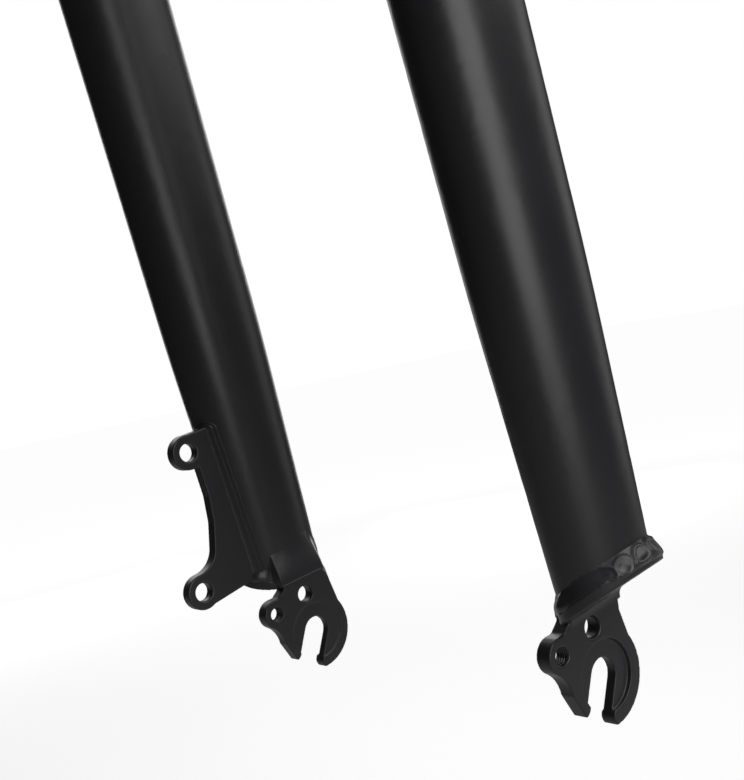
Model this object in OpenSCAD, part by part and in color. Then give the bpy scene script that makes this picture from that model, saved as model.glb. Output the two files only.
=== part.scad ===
// Rigid front fork for a fat bike: two oval tapered blades that bend together at the crown,
// slotted dropouts on sloping end caps, and a plate for a disc brake calliper.
// Millimetres. Z runs up the steerer axis, X points forward, Y points to the rider's left.
// The origin is the shoulder that the crown race sits on.

/* [Main sizes] */
// Straight distance from the crown race shoulder to the axle
axle_to_crown = 455; // [430:1:490]
// How far the axle lies in front of the steerer axis
fork_offset = 45; // [35:1:55]
// Distance between the inner faces of the dropouts
dropout_spacing = 135; // [130:1:142]
// Distance between the centre lines of the two blades
blade_track = 161.2; // [156:0.2:172]

/* [Steerer] */
// Outside diameter of the steerer
steerer_d = 28.6; // [28.6:0.1:29.4]
// Bore of the steerer
steerer_bore_d = 22.2; // [21:0.1:25.4]
// Length of the steerer above the crown race shoulder
steerer_length = 250; // [150:5:300]
// Diameter of the seat that the crown race is pressed on
race_seat_d = 30; // [29.8:0.1:31]
// Diameter of the steerer inside the crown boss
steerer_foot_d = 31.4; // [31.2:0.1:33]
// Height of the race seat
race_seat_h = 7; // [5:0.5:10]
// Bevel at the top of the steerer
steerer_bevel = 0.8; // [0.2:0.1:1]

/* [Crown] */
// Height of the crown boss
boss_h = 48; // [44:1:60]
// How far the crown boss stands out past the front and back of the blades
boss_margin = 3; // [2:0.5:8]
// Bevel on the edges of the crown boss
boss_bevel = 1.5; // [0.5:0.5:2.5]
// Depth below the race shoulder at which the blades' centre lines meet
crown_drop = 18; // [16:1:22]

/* [Blades] */
// Front to back depth of a blade where it starts to bend
blade_depth_top = 44.2; // [40:0.2:46]
// Front to back depth of a blade where the lower taper starts
blade_depth_mid = 39.7; // [36:0.1:42]
// Front to back depth of a blade at its foot
blade_depth_foot = 33.2; // [31:0.1:36]
// Width of the oval over its depth
oval_ratio = 0.64; // [0.58:0.01:0.72]
// Wall of a blade
blade_wall = 2.2; // [1.4:0.1:3]
// Height above the axle where the lower taper starts
taper_start = 113; // [100:1:140]
// Half of the length over which the taper sets in
taper_blend = 14; // [5:1:25]

/* [Feet] */
// Height above the axle at which a dropout's outer face meets the cap
corner_up = 20.7; // [20:0.1:26]
// Slope of the cap, which rises towards the outside
foot_slope = 28.5; // [20:0.5:32]
// Thickness of the cap that closes the blade
cap_thickness = 3; // [2:0.5:4]
// How far the cap stands out round the blade
cap_lip = 1.8; // [1.6:0.1:2.2]
// How far the cap sits outward of the blade
cap_outward = 1.4; // [0:0.1:1.6]
// How far the cap reaches in over the dropout at the least
cap_hold = 2.4; // [1:0.1:2.6]
// Height of the weld bead above the cap
foot_bead_h = 5; // [3:0.5:7]

/* [Dropouts] */
// Thickness of a dropout
plate_thickness = 4.8; // [4:0.1:6]
// Width of the slot that the axle goes in
slot_width = 10.4; // [10:0.1:11]
// Lean of the slot to the rear of the blade's centre line
slot_lean = 32.3; // [25:0.1:40]
// Radius of the dropout round the axle
head_radius = 14.6; // [14:0.1:17]
// Distance from the axle to the ends of the two prongs
prong_reach = 12.8; // [11.5:0.1:13.5]
// Rounding of the prongs beside the slot's mouth
mouth_rounding = 2.8; // [1:0.1:3.4]
// Distance from the axle to the straight rear edge of the rear prong
rear_edge = 13.4; // [13:0.1:14]
// Slope of that edge
rear_edge_slope = 21; // [15:0.5:25]
// Radius of the recess for the hub's nut, outer face
seat_radius = 10.5; // [10:0.1:12]
// Depth of the recess, outer face
seat_depth = 1.2; // [0.5:0.1:1.8]
// Radius of the recess, inner face
inner_seat_radius = 10.9; // [10:0.1:12]
// Depth of the recess, inner face
inner_seat_depth = 0.5; // [0.2:0.1:1]
// Distance from the axle line to the front edge of the neck
neck_front = 11.7; // [10.5:0.1:13]
// How far the neck's front edge runs forward up to the cap
neck_flare = 1.8; // [0:0.1:3]
// Distance from the axle line to the rear edge of the neck
neck_rear = 9; // [8:0.1:11]
// Height above the axle from which the neck's inner front corner is cut back
neck_cut_up = 14.5; // [13:0.5:17]
// Slope of that cut
neck_cut_slope = 10.5; // [5:0.5:20]
// Fillet between the dropout and the cap above it
neck_fillet = 4.7; // [2:0.1:6]
// Distance of the upper hole behind the axle line
upper_hole_back = 0.7; // [0:0.1:2]
// Height of the upper hole above the axle
upper_hole_up = 15; // [14.8:0.1:16]
// Diameter of the upper hole
upper_hole_d = 6.2; // [5:0.1:6.8]
// Distance of the threaded eyelet behind the axle line
eyelet_back = 15; // [14:0.1:17]
// Height of the threaded eyelet above the axle
eyelet_up = 12.7; // [11:0.1:14]
// Diameter of the threaded eyelet
eyelet_d = 5; // [4:0.1:6]
// Radius of the lobe round the eyelet
lobe_radius = 5.2; // [4.5:0.1:6]
// Fillet between the lobe and the rear prong
lobe_fillet = 10; // [6:0.5:14]
// Bevel at the mouths of the small holes
hole_bevel = 0.4; // [0.1:0.1:0.6]

/* [Disc brake plate] */
// Distance between the plate's two holes
tab_hole_spacing = 51; // [48:1:74]
// Diameter of the plate's holes
tab_hole_d = 6.8; // [6:0.1:7.2]
// Distance of the upper hole behind the blade's centre line
tab_hole_back = 27.1; // [26:0.1:30]
// Height of the upper hole above the axle
tab_hole_up = 80.3; // [78:0.1:110]
// Lean of the line through both holes
tab_lean = 11.3; // [8:0.1:15]
// Distance from the middle of the fork to the plate's inner face
tab_inner = 75; // [74:0.1:78]
// Thickness of the plate
tab_thickness = 4.4; // [4:0.1:6]
// Radius of the ears round the holes
tab_ear_radius = 6.4; // [6:0.1:8]
// Radius of the hollow above the lower ear
tab_hollow_radius = 9.6; // [7:0.1:12]
// Radius of the plate's long rear edge
tab_edge_radius = 65; // [50:1:100]
// Distance of that edge behind the blade's centre line, at its nearest
tab_edge_back = 24.1; // [22.5:0.1:24.5]
// Width of the weld bead along the plate
tab_bead = 2.4; // [1.5:0.1:3.5]

/* [Crown welds] */
// Width of the weld bead round the end of a blade
crown_bead = 2.5; // [1.5:0.1:3]
// How far that bead runs out along the blade
crown_bead_run = 4; // [2:0.5:6]

/* [Hidden] */
$fn = 96;
coat = [0.11, 0.11, 0.12];
far = 400;
over = 1;

// The line of the blades, seen from the side
axle_drop = sqrt(axle_to_crown * axle_to_crown - fork_offset * fork_offset);
rake = atan(fork_offset / (axle_drop - crown_drop));
line_length = (axle_drop - crown_drop) / cos(rake);

// The line of a blade, seen from the front: straight, then a quarter turn to the middle
blade_y = blade_track / 2;
boss_d = blade_depth_top + 2 * boss_margin;
bend_z = line_length - blade_y;

// Where a dropout's outer face lies, and the cap's underside on the blade's centre line
half_gap = dropout_spacing / 2;
plate_outer = half_gap + plate_thickness;
foot_height = corner_up + tan(foot_slope) * (blade_y - plate_outer);

// The blade's half depth at any height above the axle
top_r = blade_depth_top / 2;
mid_r = blade_depth_mid / 2;
foot_r = blade_depth_foot / 2;
low_rate = (mid_r - foot_r) / (taper_start - foot_height);
high_rate = (top_r - mid_r) / (bend_z - taper_start);
function blade_r(z) =
    let (rise = z - taper_start)
    rise < -taper_blend ? mid_r + low_rate * rise :
    rise > taper_blend ? mid_r + high_rate * rise :
    mid_r + low_rate * rise
        + (high_rate - low_rate) * pow(rise + taper_blend, 2) / (4 * taper_blend);

// The foot of a blade and the dropout under it
cap_rise = cap_thickness / cos(foot_slope);
cap_r = blade_r(foot_height + cap_rise) + cap_lip;
cap_half_width = oval_ratio * (cap_r - cap_lip) + cap_lip;
cap_outer_edge = blade_y + cap_outward + cap_half_width;
cap_inner_edge = min(cap_outer_edge - 2 * cap_half_width, plate_outer - cap_hold);
cap_y = (cap_outer_edge + cap_inner_edge) / 2;
cap_ratio = (cap_outer_edge - cap_inner_edge) / 2 / cap_r;
neck_top = corner_up + cap_rise + over;
fillet_run = neck_fillet / tan((90 + foot_slope) / 2);
eyelet = [-eyelet_back, eyelet_up];
upper_hole = [-upper_hole_back, upper_hole_up];

// Where the neck's front edge leaves the round head, and where it starts to flare
head_leave = 28;
neck_knee = [neck_front + 0.5, upper_hole.y + 3.4];

// The flat above the eyelet's lobe, and the rise from there to the neck
lobe_flat = 2.6;
lobe_rise = 2.4;

// The disc brake plate
tab_upper = [-tab_hole_back, tab_hole_up];
tab_lower = tab_upper - tab_hole_spacing * [sin(tab_lean), cos(tab_lean)];
edge_centre = [-tab_edge_back - tab_edge_radius, tab_upper.y - 15];
tab_root = -foot_r / 3;

// Where the arcs round the plate's two ears and along its rear edge start and end, in degrees
upper_ear_top = 80;
upper_ear_end = 293;
rear_edge_start = 6;
lower_ear_end = 298;

// Centre of a circle that touches two others from outside, on the left of the line a to b
function touching(a, ra, b, rb, r) =
    let (span = norm(b - a), along = (b - a) / span, across = [-along.y, along.x],
        pa = ra + r, pb = rb + r, t = (span * span + pa * pa - pb * pb) / (2 * span))
    a + t * along + sqrt(pa * pa - t * t) * across;

// Direction from one point to another, in degrees
function heading(a, b) = atan2(b.y - a.y, b.x - a.x);

// Points along an arc
function arc(centre, r, from, to) =
    let (count = ceil(abs(to - from) / 9))
    [for (i = [0:count]) let (a = from + (to - from) * i / count) centre + r * [cos(a), sin(a)]];

// Places what is drawn round the axle, with Z along the blades
module on_axle() {
    translate([fork_offset, 0, -axle_drop])
        rotate([0, -rake, 0])
            children();
}

module to_right() {
    mirror([0, 1, 0])
        children();
}

// Everything above the sloping plane that lies this far over the cap's underside
module above_cap(lift) {
    translate([0, blade_y, foot_height + lift])
        rotate([foot_slope, 0, 0])
            translate([-far / 2, -far / 2, 0])
                cube(far);
}

// Width over depth of the oval, once it is grown or shrunk evenly by some amount
function grown_ratio(grow) = (oval_ratio * mid_r + grow) / (mid_r + grow);

// The solid form of the left blade up to its bend
module straight_form(grow, top) {
    bottom = foot_height - blade_depth_foot / 2;
    steps = [for (i = [-2:2]) taper_start + taper_blend * i / 2];
    heights = concat([bottom], [for (z = steps) if (z < top) z], [top]);
    outline = concat([[0, bottom]], [for (z = heights) [blade_r(z) + grow, z]], [[0, top]]);
    translate([0, blade_y, 0])
        scale([1, grown_ratio(grow), 1])
            rotate_extrude()
                polygon(outline);
}

// The quarter turn above it, which ends in the middle of the crown
module bend_form(grow) {
    translate([0, 0, bend_z])
        rotate([90, 0, 90])
            rotate_extrude(angle = 90)
                translate([blade_y, 0])
                    scale([grown_ratio(grow), 1])
                        rotate(90)
                            circle(top_r + grow);
}

module blade_form(grow) {
    straight_form(grow, bend_z);
    bend_form(grow);
}

// The round of the crown boss without its bore
module boss_round(grow) {
    translate([0, 0, -boss_h])
        cylinder(d = boss_d + 2 * grow, h = boss_h);
}

module steerer() {
    color(coat)
        rotate_extrude()
            polygon([
                [steerer_bore_d / 2, -boss_h],
                [steerer_foot_d / 2, -boss_h],
                [steerer_foot_d / 2, 0],
                [race_seat_d / 2, 0],
                [race_seat_d / 2, race_seat_h],
                [steerer_d / 2, race_seat_h + (race_seat_d - steerer_d) / 2],
                [steerer_d / 2, steerer_length - steerer_bevel],
                [steerer_d / 2 - steerer_bevel, steerer_length],
                [steerer_bore_d / 2, steerer_length]
            ]);
}

module crown_boss() {
    r = boss_d / 2;
    color(coat)
        rotate_extrude()
            polygon([
                [steerer_foot_d / 2, -boss_h],
                [r - boss_bevel, -boss_h],
                [r, boss_bevel - boss_h],
                [r, -boss_bevel],
                [r - boss_bevel, 0],
                [steerer_foot_d / 2, 0]
            ]);
}

module blade() {
    color(coat)
        difference() {
            on_axle()
                intersection() {
                    difference() {
                        blade_form(0);
                        blade_form(-blade_wall);
                    }
                    above_cap(cap_rise);
                }
            boss_round(0);
        }
}

// The bead is what a grown blade and a grown boss share outside the two pieces
module crown_weld() {
    color(coat)
        difference() {
            intersection() {
                on_axle()
                    bend_form(crown_bead);
                boss_round(crown_bead_run);
            }
            on_axle()
                bend_form(0);
            boss_round(0);
        }
}

// Places the oval of the cap under the blade
module on_cap() {
    translate([0, cap_y, 0])
        scale([1, cap_ratio, 1])
            children();
}

// A flat oval ring that thins upwards, sheared so that it lies on the sloping cap
module foot_weld() {
    color(coat)
        on_axle()
            foot_bead();
}

module foot_bead() {
    lift = foot_height + cap_rise - tan(foot_slope) * blade_y;
    difference() {
        multmatrix([[1, 0, 0, 0], [0, 1, 0, 0], [0, tan(foot_slope), 1, lift], [0, 0, 0, 1]])
            on_cap()
                cylinder(r1 = cap_r, r2 = cap_r - 1.4 * cap_lip, h = foot_bead_h);
        straight_form(0, 2 * foot_height);
    }
}

// Takes the corner at the origin off what lies to its right and above
module rounding(r) {
    difference() {
        translate([-over, -over])
            square(r + over);
        translate([r, r])
            circle(r);
    }
}

// The slot with its rounded mouth, and everything beyond the prongs
module slot() {
    circle(d = slot_width);
    rotate(180 - slot_lean) {
        translate([-slot_width / 2, 0])
            square([slot_width, far]);
        translate([-far / 2, prong_reach])
            square(far);
        translate([slot_width / 2, prong_reach])
            rotate(-90)
                rounding(mouth_rounding);
        translate([-slot_width / 2, prong_reach])
            rotate(180)
                rounding(mouth_rounding);
    }
}

// The dropout seen from the side, with the axle at its centre
module dropout_outline() {
    fillet = touching([0, 0], head_radius, eyelet, lobe_radius, lobe_fillet);
    head_touch = fillet * head_radius / norm(fillet);
    lobe_touch = eyelet + (fillet - eyelet) * lobe_radius / norm(fillet - eyelet);
    lobe_top = eyelet.y + lobe_radius;
    edge_half = sqrt(head_radius * head_radius - rear_edge * rear_edge);
    difference() {
        union() {
            circle(head_radius);
            translate(eyelet)
                circle(lobe_radius);
            polygon([
                [-neck_rear, neck_top],
                [neck_front + neck_flare, neck_top],
                neck_knee,
                [neck_front, upper_hole.y],
                [head_radius * cos(head_leave), head_radius * sin(head_leave)],
                [0, 0],
                head_touch,
                fillet,
                lobe_touch,
                eyelet,
                [eyelet.x, lobe_top],
                [eyelet.x + lobe_flat, lobe_top],
                [-neck_rear, lobe_top + lobe_rise]
            ]);
        }
        translate(fillet)
            circle(lobe_fillet);
        rotate(180 + rear_edge_slope)
            translate([rear_edge, -edge_half])
                square([far, far]);
        slot();
    }
}

// A hole along Y through a wall that starts at y, with a small bevel at both mouths
module through_hole(at, d, y, wall) {
    translate([at.x, y, at.y])
        rotate([-90, 0, 0]) {
            translate([0, 0, -over])
                cylinder(d = d, h = wall + 2 * over);
            translate([0, 0, -over])
                cylinder(r1 = d / 2 + hole_bevel + over, r2 = d / 2, h = hole_bevel + over);
            translate([0, 0, wall - hole_bevel])
                cylinder(r1 = d / 2, r2 = d / 2 + hole_bevel + over, h = hole_bevel + over);
        }
}

module recess(radius, y, depth) {
    translate([0, y, 0])
        rotate([-90, 0, 0])
            cylinder(r = radius, h = depth);
}

// The hollow corner between the dropout's outer face and the cap
module neck_corner() {
    centre = [plate_outer + neck_fillet, corner_up - fillet_run];
    reach = [plate_outer, corner_up] + fillet_run * [cos(foot_slope), sin(foot_slope)];
    translate([-neck_rear, 0, 0])
        rotate([90, 0, 90])
            linear_extrude(neck_rear + neck_front + neck_flare)
                difference() {
                    polygon([
                        [plate_outer - over, corner_up - fillet_run],
                        centre,
                        reach,
                        reach + [0, over],
                        [plate_outer - over, corner_up + over]
                    ]);
                    translate(centre)
                        circle(neck_fillet);
                }
}

module cap() {
    intersection() {
        on_cap()
            cylinder(r = cap_r, h = 2 * foot_height);
        above_cap(0);
    }
}

// Everything beyond the sloping cut on the neck's inner front corner
module neck_cut() {
    translate([neck_front, half_gap, neck_cut_up])
        rotate([0, -neck_cut_slope, -45])
            translate([0, -far / 2, -far / 2])
                cube(far);
}

module dropout() {
    color(coat)
        on_axle()
            difference() {
                union() {
                    translate([0, plate_outer, 0])
                        rotate([90, 0, 0])
                            linear_extrude(plate_thickness)
                                dropout_outline();
                    cap();
                    neck_corner();
                }
                above_cap(cap_rise);
                neck_cut();
                recess(seat_radius, plate_outer - seat_depth, seat_depth + over);
                recess(inner_seat_radius, half_gap - over, inner_seat_depth + over);
                through_hole(upper_hole, upper_hole_d, half_gap, plate_thickness);
                through_hole(eyelet, eyelet_d, half_gap, plate_thickness);
            }
}

// The brake plate seen from the side, run on into the blade where the blade then cuts it off
module tab_outline() {
    edge_inside = tab_edge_radius - 2 * tab_hollow_radius;
    hollow = touching(edge_centre, edge_inside, tab_lower, tab_ear_radius, tab_hollow_radius);
    edge_end = heading(edge_centre, hollow);
    ear_start = heading(tab_lower, hollow);
    polygon(concat(
        [[tab_root, tab_lower.y - 0.4 * tab_ear_radius]],
        [[tab_root, tab_upper.y + tab_ear_radius + 0.5]],
        arc(tab_upper, tab_ear_radius, upper_ear_top, upper_ear_end),
        arc(edge_centre, tab_edge_radius, rear_edge_start, edge_end),
        arc(hollow, tab_hollow_radius, edge_end, ear_start - 180),
        arc(tab_lower, tab_ear_radius, ear_start, lower_ear_end)
    ));
}

module tab_slab(grow) {
    translate([0, tab_inner + tab_thickness + grow, 0])
        rotate([90, 0, 0])
            linear_extrude(tab_thickness + 2 * grow)
                children();
}

module tab_solid() {
    difference() {
        tab_slab(0)
            tab_outline();
        through_hole(tab_upper, tab_hole_d, tab_inner, tab_thickness);
        through_hole(tab_lower, tab_hole_d, tab_inner, tab_thickness);
    }
}

module disc_brake_plate() {
    color(coat)
        on_axle()
            difference() {
                tab_solid();
                straight_form(0, 2 * tab_hole_up);
                cap();
                foot_bead();
            }
}

// The bead runs up both sides of the plate and over its top
module disc_plate_weld() {
    low = tab_lower.y;
    high = tab_upper.y + tab_ear_radius + tab_bead;
    color(coat)
        on_axle()
            difference() {
                intersection() {
                    tab_slab(tab_bead)
                        translate([-foot_r - 3 * tab_ear_radius, low])
                            square([foot_r + 3 * tab_ear_radius, high - low]);
                    straight_form(tab_bead, 2 * tab_hole_up);
                }
                straight_form(0, 2 * tab_hole_up);
                tab_solid();
                cap();
                foot_bead();
            }
}

module left_blade() { blade(); }
module right_blade() { to_right() blade(); }
module left_crown_weld() { crown_weld(); }
module right_crown_weld() { to_right() crown_weld(); }
module left_foot_weld() { foot_weld(); }
module right_foot_weld() { to_right() foot_weld(); }
module left_dropout() { dropout(); }
module right_dropout() { to_right() dropout(); }

steerer();
crown_boss();
left_blade();
right_blade();
left_crown_weld();
right_crown_weld();
left_foot_weld();
right_foot_weld();
left_dropout();
right_dropout();
disc_brake_plate();
disc_plate_weld();
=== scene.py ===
"""Looks of a rigid fat bike fork: satin black coat, lumpy weld beads, threads and a studio."""
import math
import random

import bpy
import numpy as np
from bpy.props import FloatProperty, FloatVectorProperty, IntProperty, PointerProperty
from mathutils import Matrix, Vector


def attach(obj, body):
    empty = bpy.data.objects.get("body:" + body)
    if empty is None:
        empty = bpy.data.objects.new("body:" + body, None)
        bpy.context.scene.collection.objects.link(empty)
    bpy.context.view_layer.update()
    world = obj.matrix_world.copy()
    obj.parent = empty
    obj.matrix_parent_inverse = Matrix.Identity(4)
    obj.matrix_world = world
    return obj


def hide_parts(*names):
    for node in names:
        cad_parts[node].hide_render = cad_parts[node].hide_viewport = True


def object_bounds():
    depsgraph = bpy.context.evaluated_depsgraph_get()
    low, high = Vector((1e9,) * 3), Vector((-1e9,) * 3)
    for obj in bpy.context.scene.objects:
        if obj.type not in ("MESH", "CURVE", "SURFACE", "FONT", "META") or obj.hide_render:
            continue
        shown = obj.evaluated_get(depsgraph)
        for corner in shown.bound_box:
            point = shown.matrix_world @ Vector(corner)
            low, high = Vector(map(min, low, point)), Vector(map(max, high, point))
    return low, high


bl_info = {
    "name": "Fat bike fork",
    "version": (1, 0, 0),
    "blender": (4, 5, 0),
    "location": "View3D > Sidebar > Fork",
    "description": "Coat, weld beads, threads and studio of a rigid fat bike fork",
    "category": "Object",
}

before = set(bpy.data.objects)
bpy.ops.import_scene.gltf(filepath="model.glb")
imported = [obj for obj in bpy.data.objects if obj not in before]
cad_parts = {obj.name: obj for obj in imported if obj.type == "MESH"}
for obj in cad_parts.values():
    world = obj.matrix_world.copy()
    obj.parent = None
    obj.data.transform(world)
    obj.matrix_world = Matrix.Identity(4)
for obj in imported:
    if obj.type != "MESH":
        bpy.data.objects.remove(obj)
CAD_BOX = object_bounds()
MM = 0.001
SIDES = {"left": 1, "right": -1}


def smoothstep(f):
    """Eases a share that runs from zero to one"""
    return f * f * (3 - 2 * f)


def length(name, description, default):
    """A size in metres, from one in millimetres"""
    return FloatProperty(name=name, description=description, default=default * MM, unit="LENGTH",
                         precision=5)


class ForkSizes(bpy.types.PropertyGroup):
    """Sizes that the beads and threads share with the solids"""
    axle_to_crown: length("Axle to crown", "From the crown race shoulder to the axle", 455)
    fork_offset: length("Offset", "How far the axle lies in front of the steerer axis", 45)
    crown_drop: length("Crown drop", "Depth at which the blades' centre lines meet", 18)
    blade_track: length("Blade track", "Between the centre lines of the blades", 161.2)
    depth_top: length("Depth at the bend", "Front to back depth of a blade at its bend", 44.2)
    depth_mid: length("Depth at the taper", "Front to back depth at the lower taper's start", 39.7)
    depth_foot: length("Depth at the foot", "Front to back depth of a blade at its foot", 33.2)
    oval_ratio: FloatProperty(name="Oval", description="Width of a blade over its depth",
                              default=0.64)
    taper_start: length("Taper start", "Height above the axle where the lower taper starts", 113)
    taper_blend: length("Taper blend", "Half of the length over which the taper sets in", 14)
    corner_up: length("Corner height", "Height at which a dropout's outer face meets the cap", 20.7)
    foot_slope: FloatProperty(name="Foot slope", description="Slope of the cap",
                              default=math.radians(28.5), subtype="ANGLE")
    cap_thickness: length("Cap thickness", "Thickness of the cap that closes a blade", 3)
    cap_lip: length("Cap lip", "How far the cap stands out round the blade", 1.8)
    cap_outward: length("Cap outward", "How far the cap sits outward of the blade", 1.4)
    trim_left: length("Trim", "What is left of the cap's rim on the front of the wheel's side", 0.4)
    neck_front: length("Neck front", "How far the dropout's neck runs forward under the cap", 13.5)
    neck_rear: length("Neck rear", "How far the dropout's neck runs to the rear", 9)
    boss_radius: length("Boss radius", "Radius of the crown boss", 25.1)
    dropout_inner: length("Dropout face", "From the middle to a dropout's inner face", 67.5)
    dropout_thickness: length("Dropout thickness", "Thickness of a dropout", 4.8)
    eyelet_back: length("Eyelet back", "How far the eyelet lies behind the axle line", 15)
    eyelet_up: length("Eyelet height", "Height of the eyelet above the axle", 12.7)
    eyelet_radius: length("Eyelet radius", "Radius of the threaded eyelet", 2.5)
    plate_inner: length("Plate face", "From the middle to the brake plate's inner face", 75)
    plate_thickness: length("Plate thickness", "Thickness of the brake plate", 4.4)
    plate_top: length("Plate top", "Height of the brake plate's upper edge at the blade", 86.9)
    plate_bottom: length("Plate bottom", "Height at which the plate's bead ends", 25)


class BeadLook(bpy.types.PropertyGroup):
    """Form of the weld beads"""
    foot_pitch: length("Foot pitch", "Length of a scale of the foot bead", 6.8)
    foot_depth: length("Foot depth", "Height of the foot bead's scales", 1.0)
    crown_pitch: length("Crown pitch", "Length of a scale of the crown bead", 4.2)
    crown_depth: length("Crown depth", "Height of the crown bead's scales", 0.5)
    crown_run: length("Crown run", "How far the crown bead runs along the blade", 4)
    crown_width: length("Crown width", "Width of the crown bead on the boss", 2.6)
    plate_width: length("Plate width", "Width of the bead along the brake plate", 1.3)
    plate_swell: length("Plate swell", "How far the brake plate's bead stands on the blade", 0.45)
    seed: IntProperty(name="Seed", description="Start of the bead's irregular scales", default=7)


class SurfaceLook(bpy.types.PropertyGroup):
    """Colour and finish of the coat"""
    coat: FloatVectorProperty(name="Coat", description="Colour of the coat", subtype="COLOR",
                              size=3, default=(0.019, 0.019, 0.0212), min=0, max=1)
    roughness: FloatProperty(name="Roughness", description="Roughness of the coat", default=0.32)
    grain: length("Grain", "Size of the coat's fine waves", 0.9)
    grain_height: length("Grain height", "Height of the coat's fine waves", 0.004)
    voxel: length("Voxel", "Detail of the forged pieces with softened edges", 0.26)
    soften: IntProperty(name="Soften", description="Rounds of smoothing on forged edges", default=7)
    coat_thickness: length("Coat thickness", "How far the coat stands on a forged piece", 0.07)


class StageLook(bpy.types.PropertyGroup):
    """Floor and light"""
    floor_drop: length("Floor drop", "How far the floor lies below the fork", 120)
    floor_grey: FloatProperty(name="Floor", description="Paleness of the floor", default=0.6)
    near_glow: FloatProperty(name="Near glow", default=0.6,
                             description="Light under the fork for the camera alone")
    far_glow: FloatProperty(name="Far glow", description="Light far out for the camera alone",
                            default=0.96)
    world_light: FloatProperty(name="World light", description="Light from all round", default=0.03)
    lamp_distance: length("Lamp distance", "From the fork's lower half to a lamp", 1000)
    lamp_spread: FloatProperty(name="Lamp spread", description="Angle over which a lamp shines",
                               default=math.radians(110), subtype="ANGLE")


def axle_drop(sizes):
    """How far the axle lies below the crown race shoulder"""
    return math.sqrt(sizes.axle_to_crown ** 2 - sizes.fork_offset ** 2)


def leg_to_row(sizes):
    """Places what is measured from the axle, with Z along the blades, in the fork's own frame"""
    rake = math.atan2(sizes.fork_offset, axle_drop(sizes) - sizes.crown_drop)
    turn = Matrix.Rotation(-rake, 4, "Y")
    return Matrix.Translation((sizes.fork_offset, 0, -axle_drop(sizes))) @ turn


def bend_height(sizes):
    """Height above the axle at which a blade starts to bend"""
    centre_line = math.hypot(sizes.fork_offset, axle_drop(sizes) - sizes.crown_drop)
    return centre_line - sizes.blade_track / 2


def foot_height(sizes):
    """Height of the cap's underside above the axle, on the blade's centre line"""
    outer = sizes.dropout_inner + sizes.dropout_thickness
    return sizes.corner_up + math.tan(sizes.foot_slope) * (sizes.blade_track / 2 - outer)


def cap_top(sizes):
    """Height of the cap's upper side above the axle, on the blade's centre line"""
    return foot_height(sizes) + sizes.cap_thickness / math.cos(sizes.foot_slope)


def half_depth(sizes, z):
    """Half of a blade's front to back depth at a height above the axle"""
    top, mid, foot = sizes.depth_top / 2, sizes.depth_mid / 2, sizes.depth_foot / 2
    low_rate = (mid - foot) / (sizes.taper_start - foot_height(sizes))
    high_rate = (top - mid) / (bend_height(sizes) - sizes.taper_start)
    rise, blend = z - sizes.taper_start, sizes.taper_blend
    if rise < -blend:
        return mid + low_rate * rise
    if rise > blend:
        return mid + high_rate * rise
    return mid + low_rate * rise + (high_rate - low_rate) * (rise + blend) ** 2 / (4 * blend)


def on_blade(sizes, turn, z):
    """Point on the left blade, at an angle round its oval and a height above the axle"""
    r = half_depth(sizes, z)
    across = sizes.oval_ratio * r * math.sin(turn)
    return Vector((r * math.cos(turn), sizes.blade_track / 2 + across, z))


# Points that lie further across a blade than this share of its half width are held there
WIDEST_SHARE = 0.985


def behind_blade(sizes, y, z):
    """Point on the rear of the left blade's outside, at a distance y from the middle"""
    r = half_depth(sizes, z)
    across = min(WIDEST_SHARE, abs(y - sizes.blade_track / 2) / (sizes.oval_ratio * r))
    return Vector((-r * math.sqrt(1 - across * across), y, z))


def eased_share(value, start, end):
    """Zero at the start, one at the end, eased in between"""
    return smoothstep(np.clip((value - start) / (end - start), 0, 1))


# The cap's rim is ground back from the neck's front on, eased in over the first run past it, and
# only on the wheel's side, eased in over the second run inward of the blade's centre line
TRIM_PAST_NECK = (-0.5 * MM, 1.5 * MM)
TRIM_INWARD = (-2 * MM, 3 * MM)


def trimmed_rim(sizes, x, y):
    """Moves points of the cap, seen along the left blade, in where the real rim is ground back"""
    blade_r = half_depth(sizes, cap_top(sizes))
    a = blade_r + sizes.trim_left
    b = sizes.oval_ratio * blade_r + sizes.trim_left
    across = y - sizes.blade_track / 2
    reach = np.hypot(x / a, across / b)
    share = eased_share(x, *(sizes.neck_front + run for run in TRIM_PAST_NECK))
    share = share * eased_share(-across, *TRIM_INWARD)
    scale = np.where(reach > 1, (1 + (reach - 1) * (1 - share)) / np.maximum(reach, 1), 1)
    return x * scale, sizes.blade_track / 2 + across * scale


# How far the scales of a bead differ in size, and in place along the bead in scales
SCALE_SIZES = (0.75, 1.15)
SCALE_SHIFTS = (-0.1, 0.1)


def scale_forms(count, seed):
    """Uneven sizes, shifts and leans of the scales along a bead"""
    rng = random.Random(seed)
    return [(rng.uniform(*SCALE_SIZES), rng.uniform(*SCALE_SHIFTS), rng.uniform(-1, 1))
            for _ in range(count)]


def smooth_noise(scales, u):
    """Smoothly joined leans along a closed line"""
    k = math.floor(u)
    f = smoothstep(u - k)
    n = len(scales)
    return scales[k % n][2] * (1 - f) + scales[(k + 1) % n][2] * f


# Form of one scale. Its half length is in scales and its move across in half widths of the bead.
# Its dome, raised edge and outline are given as shares of its height and of its radius, and its
# outline waves in and out twice and three times round.
SCALE_HALF_LENGTH, SCALE_MOVE = 0.68, 0.12
DOME_HEIGHT = 0.6
EDGE_HEIGHT, EDGE_RADIUS, EDGE_WIDTH = 0.42, 0.7, 0.14
OUTLINE_RUN = 0.12
TWO_WAVES, THREE_WAVES = 0.1, 0.06
WAVES_BY_LEAN, WAVES_BY_SIZE = 6, 20


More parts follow.
